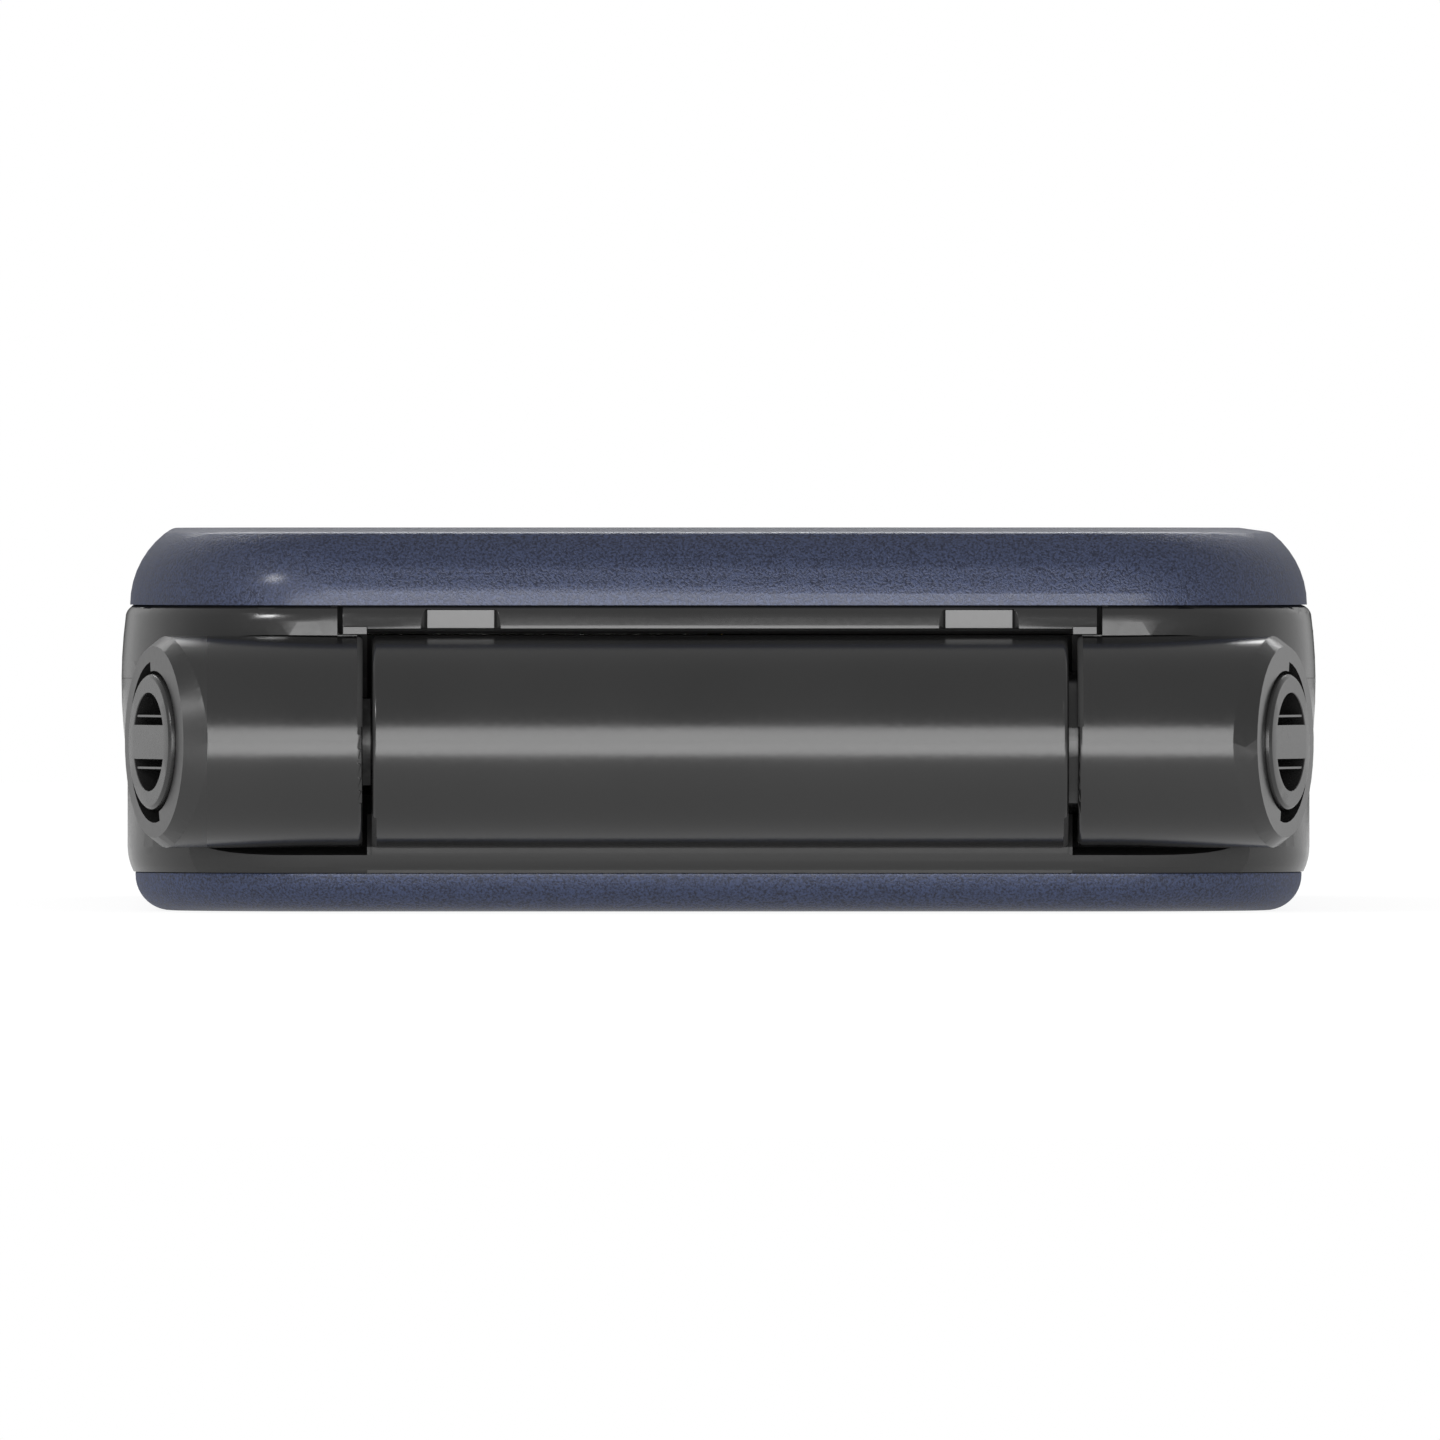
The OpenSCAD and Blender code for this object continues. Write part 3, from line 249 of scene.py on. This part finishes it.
def clearWindow(name, colour, roughness=0.04, panel=None):
    finish = Finish(name, Base_Color=toned(colour), Roughness=roughness, Coat_Weight=glass["coat"],
                    Coat_Roughness=glass["coatRoughness"])
    smears = finish.grains(**glass["smears"])
    finish.feed("Roughness", smears * glass["smearsDull"] + roughness)
    if panel:  # the display shows a little lighter than the black border printed round it
        inset = [(low + glass["border"], high - glass["border"]) for low, high in spans(panel)[:2]]
        finish.feed("Base Color", finish.blend(zone(finish, inset), toned(colour), toned(glass["display"])))
    return finish.material


board = {
    "mask": (0.01, 0.08, 0.035), "bare": (0.008, 0.07, 0.03), "tracks": (0.012, 0.1, 0.045),
    "blots": {"size": 0.003, "detail": 2.0, "ends": (0.48, 0.52)}, "height": 0.00002, "roughness": 0.35,
}


def circuitBoard():
    finish = Finish("solderMask", Base_Color=toned(board["mask"]), Roughness=board["roughness"])
    blots = finish.grains(**board["blots"])
    finish.feed("Base Color", finish.blend(blots, toned(board["bare"]), toned(board["tracks"])))
    finish.bump(blots, board["height"])
    return finish.material


mesh = {"wire": grey(0.3), "hole": grey(0.004), "mean": grey(0.12), "pitch": 0.0002, "ends": (0.25, 0.45),
        "metallic": 0.8, "roughness": 0.4}


def wovenMesh():
    finish = Finish("wovenMesh", Base_Color=toned(mesh["mean"]), Metallic=mesh["metallic"],
                    Roughness=mesh["roughness"])
    square = {"feature": "F1", "distance": "CHEBYCHEV"}
    inputs = {"Vector": finish.place(), "Scale": 1 / mesh["pitch"], "Randomness": 0.0}
    wires = finish.node("ShaderNodeTexVoronoi", square, inputs, "Distance").ramp(*mesh["ends"])
    finish.feed("Base Color", finish.blend(wires, toned(mesh["hole"]), toned(mesh["wire"])))
    return finish.material


satin = {"colour": grey(0.0125), "roughness": 0.21, "depth": 0.0000008}
finishes = {  # by material slot
    "blue_paint": bluePaint(),
    "dark_plastic": mouldedPlastic("satinDarkPlastic", **satin),
    "cap_plastic": mouldedPlastic("satinCapPlastic", grey(0.016), 0.26, depth=0.0000008),
    "black_plastic": mouldedPlastic("mattBlackPlastic", grey(0.012), 0.5),
    "key_plastic": mouldedPlastic("keyPlastic", (0.03, 0.03, 0.034), 0.33),
    "grey_pad": mouldedPlastic("greyPad", grey(0.15), 0.6, wear=0.06),
    "diffuser": mouldedPlastic("frostedDiffuser", (0.75, 0.74, 0.68), 0.45, wear=0.05),
    "film": mouldedPlastic("domeFilm", grey(0.6), 0.4),
    "soft_rubber": mouldedPlastic("softRubber", grey(0.014), 0.75),
    "ring_metal": sheetMetal("satinRing", (0.3, 0.31, 0.33), 0.3),
    "bright_metal": sheetMetal("polishedRing", (0.7, 0.7, 0.72), 0.14),
    "sheet_steel": sheetMetal("stampedSteel", grey(0.55), 0.32),
    "screw_steel": sheetMetal("screwSteel", (0.4, 0.4, 0.42), 0.3),
    "hinge_steel": sheetMetal("blackenedSteel", grey(0.05), 0.35),
    "gold_contact": sheetMetal("goldContact", (0.85, 0.6, 0.22), 0.25),
    "battery_wrap": sheetMetal("batteryWrap", (0.35, 0.35, 0.37), 0.4),
    "mesh_metal": wovenMesh(),
    "window_glass": clearWindow("blackWindow", glass["black"]),
    "lens_glass": clearWindow("lensGlass", (0.006, 0.005, 0.014), 0.02),
    "display_panel": clearWindow("displayPanel", (0.01, 0.011, 0.013), 0.12),
    "circuit_board": circuitBoard(),
}
matt = {  # zones of a housing: how much rougher, and bounds in x, y and z in mm
    "rear_housing": [
        (0.7, ((-18, 18), (-48.6, -46), (11, 15))),  # seat of the hinge strip
    ],
    "front_housing": [
        (0.7, ((-16.8, 16.8), (-60, -40), (8.6, 15))),  # cove over the barrel
        (0.12, ((-30, -23.75), (-60, -44), (3, 12.9))),  # left knuckle's outer end
    ],
    "lid_housing": [
        (0.3, ((-30, 30), (-60, -46), (0, 3))),  # front under the barrel
        (0.7, ((-17.2, -15.9), (-52, -40), (3, 5.4))),  # gaps at the barrel's two ends
        (0.7, ((15.9, 17.2), (-52, -40), (3, 5.4))),
    ],
}
ownFinishes = {  # nodes that don't take their slot's finish
    "rear_housing": mouldedPlastic("rearPlastic", matt=matt["rear_housing"], **satin),
    "front_housing": mouldedPlastic("frontPlastic", matt=matt["front_housing"], **satin),
    "lid_housing": mouldedPlastic("lidPlastic", matt=matt["lid_housing"], **satin),
    # painted light: the lid's cover takes a lighter copy of the same blue paint to make up for the shade it
    # lies in, not a different paint
    "lid_cover": bluePaint("lidBluePaintPaintedLighter", paint["lidPaintedLightGain"]),
    "main_window": clearWindow("mainWindow", glass["black"], panel="main_display"),
    "outer_window": clearWindow("outerWindow", glass["black"], panel="outer_display"),
}
print("finishes made:", len(finishes) + len(ownFinishes))


# selecting, moving and shaping

def deselectAll():
    if bpy.context.object and bpy.context.object.mode != "OBJECT":
        bpy.ops.object.mode_set(mode="OBJECT")
    bpy.ops.object.select_all(action="DESELECT")


def pick(piece):
    deselectAll()
    bpy.context.view_layer.objects.active = piece
    piece.select_set(True)


def finishWith(piece, material):
    piece.data.materials.clear()
    piece.data.materials.append(material)


def move(x, y, z):  # the picked piece, in mm
    bpy.ops.transform.translate(value=(x * mm, y * mm, z * mm))
    bpy.ops.object.transform_apply(location=True, rotation=True, scale=True)


def turn(degrees, axis):  # the picked piece, about the origin
    bpy.ops.transform.rotate(value=math.radians(degrees), orient_axis=axis, center_override=(0, 0, 0))
    bpy.ops.object.transform_apply(location=True, rotation=True, scale=True)


def slab(name, long, wide, thick):  # a flat bar centred on the origin, its sizes in mm along x, y and z
    deselectAll()
    bpy.ops.mesh.primitive_plane_add(size=1, location=(0, 0, -thick / 2 * mm))
    piece = bpy.context.object
    piece.name = name
    bpy.ops.transform.resize(value=(long * mm, wide * mm, 1), center_override=(0, 0, 0))
    bpy.ops.object.transform_apply(location=True, rotation=True, scale=True)
    bpy.ops.object.mode_set(mode="EDIT")
    bpy.ops.mesh.select_all(action="SELECT")
    bpy.ops.mesh.extrude_region_move(TRANSFORM_OT_translate={"value": (0, 0, thick * mm)})
    bpy.ops.mesh.select_all(action="SELECT")
    bpy.ops.mesh.normals_make_consistent(inside=False)
    bpy.ops.object.mode_set(mode="OBJECT")
    return piece


# dressing the frame's nodes

# the hinge's axis and barrel, and how near in mm and how square (a cosine) a face on it is
hinge = {"y": -48.6, "z": 7.87, "radius": 4.9, "within": 0.05, "facing": 0.985}


def settleNormals(piece, stray):  # no normal strays further than that from its face, in degrees
    shell = piece.data
    axis = Vector((0, hinge["y"] * mm, hinge["z"] * mm))
    across = Vector((0, 1, 1))
    nearest = math.cos(math.radians(stray))
    normals = [corner.vector.copy() for corner in shell.corner_normals]
    for face in shell.polygons:
        out = (face.center - axis) * across
        onCylinder = abs(out.length - hinge["radius"] * mm) < hinge["within"] * mm
        turned = onCylinder and out.normalized().dot(face.normal) > hinge["facing"]
        for loop in face.loop_indices:
            if turned:  # exact on the barrel and the knuckles
                spot = shell.vertices[shell.loops[loop].vertex_index].co
                normals[loop] = ((spot - axis) * across).normalized()
            elif normals[loop].dot(face.normal) < nearest:
                normals[loop] = face.normal.copy()
    shell.normals_split_custom_set(normals)


skin = {  # lengths in mm, angles in degrees
    "mergeWithin": 0.002, "flatWithin": 0.02, "bevelAbove": 40, "bevelSteps": 2, "broadFace": 12,
    "keyEdge": 0.06, "crease": 24, "stray": 15,
}
edges = {  # bevel widths, and every other node but the keys keeps its edges
    "hinge_strip": 0.03, "strip_pads": 0.02, "hinge_cap_left": 0.04, "hinge_cap_right": 0.04,
    "outer_window": 0.05, "main_window": 0.05, "camera_ring": 0.04, "flash_lens": 0.03,
    "volume_key": 0.08, "lid_bumpers": 0.08, "usb_connector": 0.03, "headphone_jack": 0.05,
}
creases = {"front_housing": 12.5, "rear_housing": 13, "lid_housing": 13,
           "hinge_cap_left": 14, "hinge_cap_right": 14}
strays = {"front_housing": 7}


def bevelEdges(piece, width):
    bevel = piece.modifiers.new("softEdges", "BEVEL")
    bevel.width = width * mm
    bevel.segments = skin["bevelSteps"]
    bevel.limit_method = "ANGLE"
    bevel.angle_limit = math.radians(skin["bevelAbove"])
    bevel.use_clamp_overlap = False
    bpy.ops.object.modifier_apply(modifier=bevel.name)


def flattenFaces(piece):  # broad faces stay flat up to their edges
    for face in piece.data.polygons:
        face.select = face.area > skin["broadFace"] * mm * mm
    bpy.ops.object.mode_set(mode="EDIT")
    bpy.ops.mesh.select_mode(type="FACE")
    bpy.ops.mesh.mod_weighted_strength(set=True, face_strength="STRONG")
    bpy.ops.object.mode_set(mode="OBJECT")
    weighted = piece.modifiers.new("flatFaces", "WEIGHTED_NORMAL")
    weighted.mode = "CORNER_ANGLE"
    weighted.use_face_influence = True
    weighted.keep_sharp = True
    bpy.ops.object.modifier_apply(modifier=weighted.name)


def dress(node):  # a merged and smoothed copy stands for the node
    piece = bpy.data.objects.new(node + "Skin", nodes[node].data.copy())
    bpy.context.scene.collection.objects.link(piece)
    pick(piece)
    bpy.ops.object.mode_set(mode="EDIT")
    bpy.ops.mesh.select_all(action="SELECT")
    bpy.ops.mesh.remove_doubles(threshold=skin["mergeWithin"] * mm)
    bpy.ops.mesh.dissolve_limited(angle_limit=math.radians(skin["flatWithin"]))
    bpy.ops.mesh.select_all(action="DESELECT")
    bpy.ops.mesh.select_mode(type="FACE")
    bpy.ops.object.mode_set(mode="OBJECT")
    width = edges.get(node, skin["keyEdge"] if node.startswith("key_") else 0)
    if width:
        bevelEdges(piece, width)
    bpy.ops.object.shade_smooth_by_angle(angle=math.radians(creases.get(node, skin["crease"])))
    flattenFaces(piece)
    settleNormals(piece, strays.get(node, skin["stray"]))
    finishWith(piece, ownFinishes.get(node, finishes[slotOf[node]]))
    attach(piece, bodyOf[node])
    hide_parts(node)


for node in nodes:
    dress(node)
print("nodes dressed")


# ridges in the strap pockets, above and below the bar

pocketRidge = {
    "end": 25.3, "tilt": 18,  # where the knuckle ends on its axis, and its slant in degrees
    "out": 1.23, "deep": 0.06,  # how far the boss stands out, and how far the ridge lies under its face
    "off": 1.2, "high": 0.5, "wide": 0.1, "long": 3.84,
}


def ridge(side, off):  # it stands on the knuckle's slanted end, off above or below the hinge's axis
    name = "pocketRidge" + ("Right" if side > 0 else "Left") + ("Upper" if off > 0 else "Lower")
    piece = slab(name, pocketRidge["high"], pocketRidge["long"], pocketRidge["wide"])
    reach = pocketRidge["out"] - pocketRidge["deep"] - pocketRidge["high"] / 2
    move(side * reach, 0, off)
    turn(side * pocketRidge["tilt"], "Z")
    move(side * pocketRidge["end"], hinge["y"], hinge["z"])
    finishWith(piece, finishes[slotOf["hinge_cap_left"]])
    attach(piece, "keypad_half")


for side in (-1, 1):
    for off in (-pocketRidge["off"], pocketRidge["off"]):
        ridge(side, off)
print("pocket ridges placed")


# legends printed on the keys

ink = {
    "white": mouldedPlastic("whiteInk", grey(0.75), 0.5, wear=0.05),
    "green": mouldedPlastic("greenInk", (0.03, 0.5, 0.1), 0.5, wear=0.05),
    "red": mouldedPlastic("redInk", (0.6, 0.03, 0.02), 0.5, wear=0.05),
}
legend = {"size": 4.2, "half": 0.02, "barLong": 4.0, "barWide": 0.7}  # half is half the ink's thickness
signs = {"key_" + digit: digit for digit in "123456789"}
signs.update(key_star="*", key_0="0", key_hash="#", key_clear="C")
bars = {"key_send": "green", "key_end": "red", "key_soft_left": "white", "key_soft_right": "white"}


def seatLegend(piece, node, colour):  # turned to face downwards, on the middle of the key's outer face
    wide, deep, tall = spans(node)
    pick(piece)
    turn(180, "X")
    move(sum(wide) / 2, sum(deep) / 2, tall[0])
    finishWith(piece, ink[colour])
    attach(piece, bodyOf[node])


def sign(node, text):
    deselectAll()
    bpy.ops.object.text_add(location=(0, 0, 0))
    words = bpy.context.object.data
    words.body = text
    words.size = legend["size"] * mm
    words.extrude = legend["half"] * mm
    words.align_x = "CENTER"
    words.align_y = "CENTER"
    bpy.ops.object.convert(target="MESH")
    piece = bpy.context.object
    piece.name = node + "Legend"
    seatLegend(piece, node, "white")


for node, text in signs.items():
    sign(node, text)
for node, colour in bars.items():
    piece = slab(node + "Legend", legend["barLong"], legend["barWide"], 2 * legend["half"])
    seatLegend(piece, node, colour)
print("legends printed")


# floor, light and camera

stage = {
    "floorSize": 1.8, "floorTone": 0.82, "floorRoughness": 0.9, "floorDrop": 0.00002,
    "white": 1.17, "cameraShare": 0.75, "glossyShare": 0.5,
    "dim": 0.45, "behind": (-0.3, 0.5), "aside": (0.12, 0.5), "high": (0.85, 0.35),
    "low": (0.55, 0.85), "lowSlope": 2.0, "lowDims": 0.6,
}


def stageFloor():
    deselectAll()
    under = cadLow.z - stage["floorDrop"]
    bpy.ops.mesh.primitive_plane_add(size=stage["floorSize"], location=(0, 0, under))
    floor = bpy.context.object
    floor.name = "floor"
    finish = Finish("paleFloor", Base_Color=toned(grey(stage["floorTone"])),
                    Roughness=stage["floorRoughness"], Specular_IOR_Level=0.0)
    mirrored = finish.node("ShaderNodeLightPath", {}, {}, "Is Glossy Ray") * stage["glossyShare"]
    share = (finish.seen() * stage["cameraShare"]).larger(mirrored)
    glow = finish.node("ShaderNodeEmission", {}, {"Strength": stage["white"]})
    lit = Wire(finish, finish.shader.outputs[0])
    mixed = finish.node("ShaderNodeMixShader", {}, {0: share, 1: lit, 2: glow})
    finish.join(mixed, finish.tree.nodes["Material Output"].inputs["Surface"])
    finishWith(floor, finish.material)


def stageWorld():  # white to both sides behind the phone, dimmer elsewhere, dimmest low straight behind it
    world = bpy.data.worlds.new("studio")
    bpy.context.scene.world = world
    world.use_nodes = True
    room = Nodes(world.node_tree)
    back = room.tree.nodes["Background"]
    back.inputs["Color"].default_value = (1, 1, 1, 1)
    way = room.node("ShaderNodeTexCoord", {}, {}, "Generated")
    x, y, z = (room.node("ShaderNodeSeparateXYZ", {}, {"Vector": way}, axis) for axis in "XYZ")
    aside = abs(x).ramp(*stage["aside"])
    bright = y.ramp(*stage["behind"]) * aside * z.ramp(*stage["high"])
    dark = (y - z * stage["lowSlope"]).ramp(*stage["low"]) * (1 - aside)
    level = bright * (1 - stage["dim"]) + stage["dim"] - dark * stage["lowDims"]
    room.join(room.seen().larger(level), back.inputs["Strength"])


def softbox(name, box):  # a rectangular lamp of a given brightness, hidden from the camera
    lamp = bpy.data.lights.new(name, "AREA")
    lamp.shape = "RECTANGLE"
    lamp.size, lamp.size_y = box["size"]
    lamp.energy = box["bright"] * math.pi * lamp.size * lamp.size_y
    holder = bpy.data.objects.new(name, lamp)
    holder.location = box["place"]
    aim = Vector(box["aim"]) - Vector(box["place"])
    holder.rotation_euler = aim.to_track_quat("-Z", "Y").to_euler()
    holder.visible_camera = False
    bpy.context.scene.collection.objects.link(holder)


middle = (0, -0.045, 0.009)
lights = {  # the two strips lie on the floor before the hinge and shine upwards
    "frontBox": {"place": (0, -1.25, 0.174), "aim": (0, 0, 0.174), "size": (1.25, 0.345), "bright": 4.6},
    "nearStrip": {"place": (0, -0.14, 0.0005), "aim": (0, -0.14, 1), "size": (0.096, 0.12), "bright": 4.6},
    "farStrip": {"place": (0, -0.39, 0.0005), "aim": (0, -0.39, 1), "size": (0.28, 0.38), "bright": 4.6},
    "leftSpot": {"place": (-0.644, -0.811, 0.634), "aim": middle, "size": (0.16, 0.16), "bright": 28.0},
    "rimStrip": {"place": (0, 0.89, 0.72), "aim": middle, "size": (1.0, 0.2), "bright": 6.5},
}
view = {
    "distance": 2.78, "pixelsPerMm": 21.6, "imageSize": 1440, "sensor": 36.0, "yaw": 0.35, "pitch": 0.3,
    "focus": (0, -0.05, 0.00889), "nearest": 0.1, "farthest": 60.0,
}


def hingeEndCamera():
    data = bpy.data.cameras.new("hingeEndCamera")
    camera = bpy.data.objects.new("hingeEndCamera", data)
    bpy.context.scene.collection.objects.link(camera)
    data.sensor_width = view["sensor"]
    data.lens = data.sensor_width * view["distance"] / (view["imageSize"] / view["pixelsPerMm"] * mm)
    data.clip_start = view["nearest"]
    data.clip_end = view["farthest"]
    yaw, pitch = math.radians(view["yaw"]), math.radians(view["pitch"])
    back = Vector((-math.sin(yaw) * math.cos(pitch), -math.cos(yaw) * math.cos(pitch), math.sin(pitch)))
    camera.location = Vector(view["focus"]) + back * view["distance"]
    camera.rotation_euler = (-back).to_track_quat("-Z", "Y").to_euler()
    bpy.context.scene.camera = camera


stageFloor()
stageWorld()
for name, box in lights.items():
    softbox(name, box)
hingeEndCamera()
bpy.context.scene.view_settings.view_transform = "Standard"
print("stage, lights and camera set")
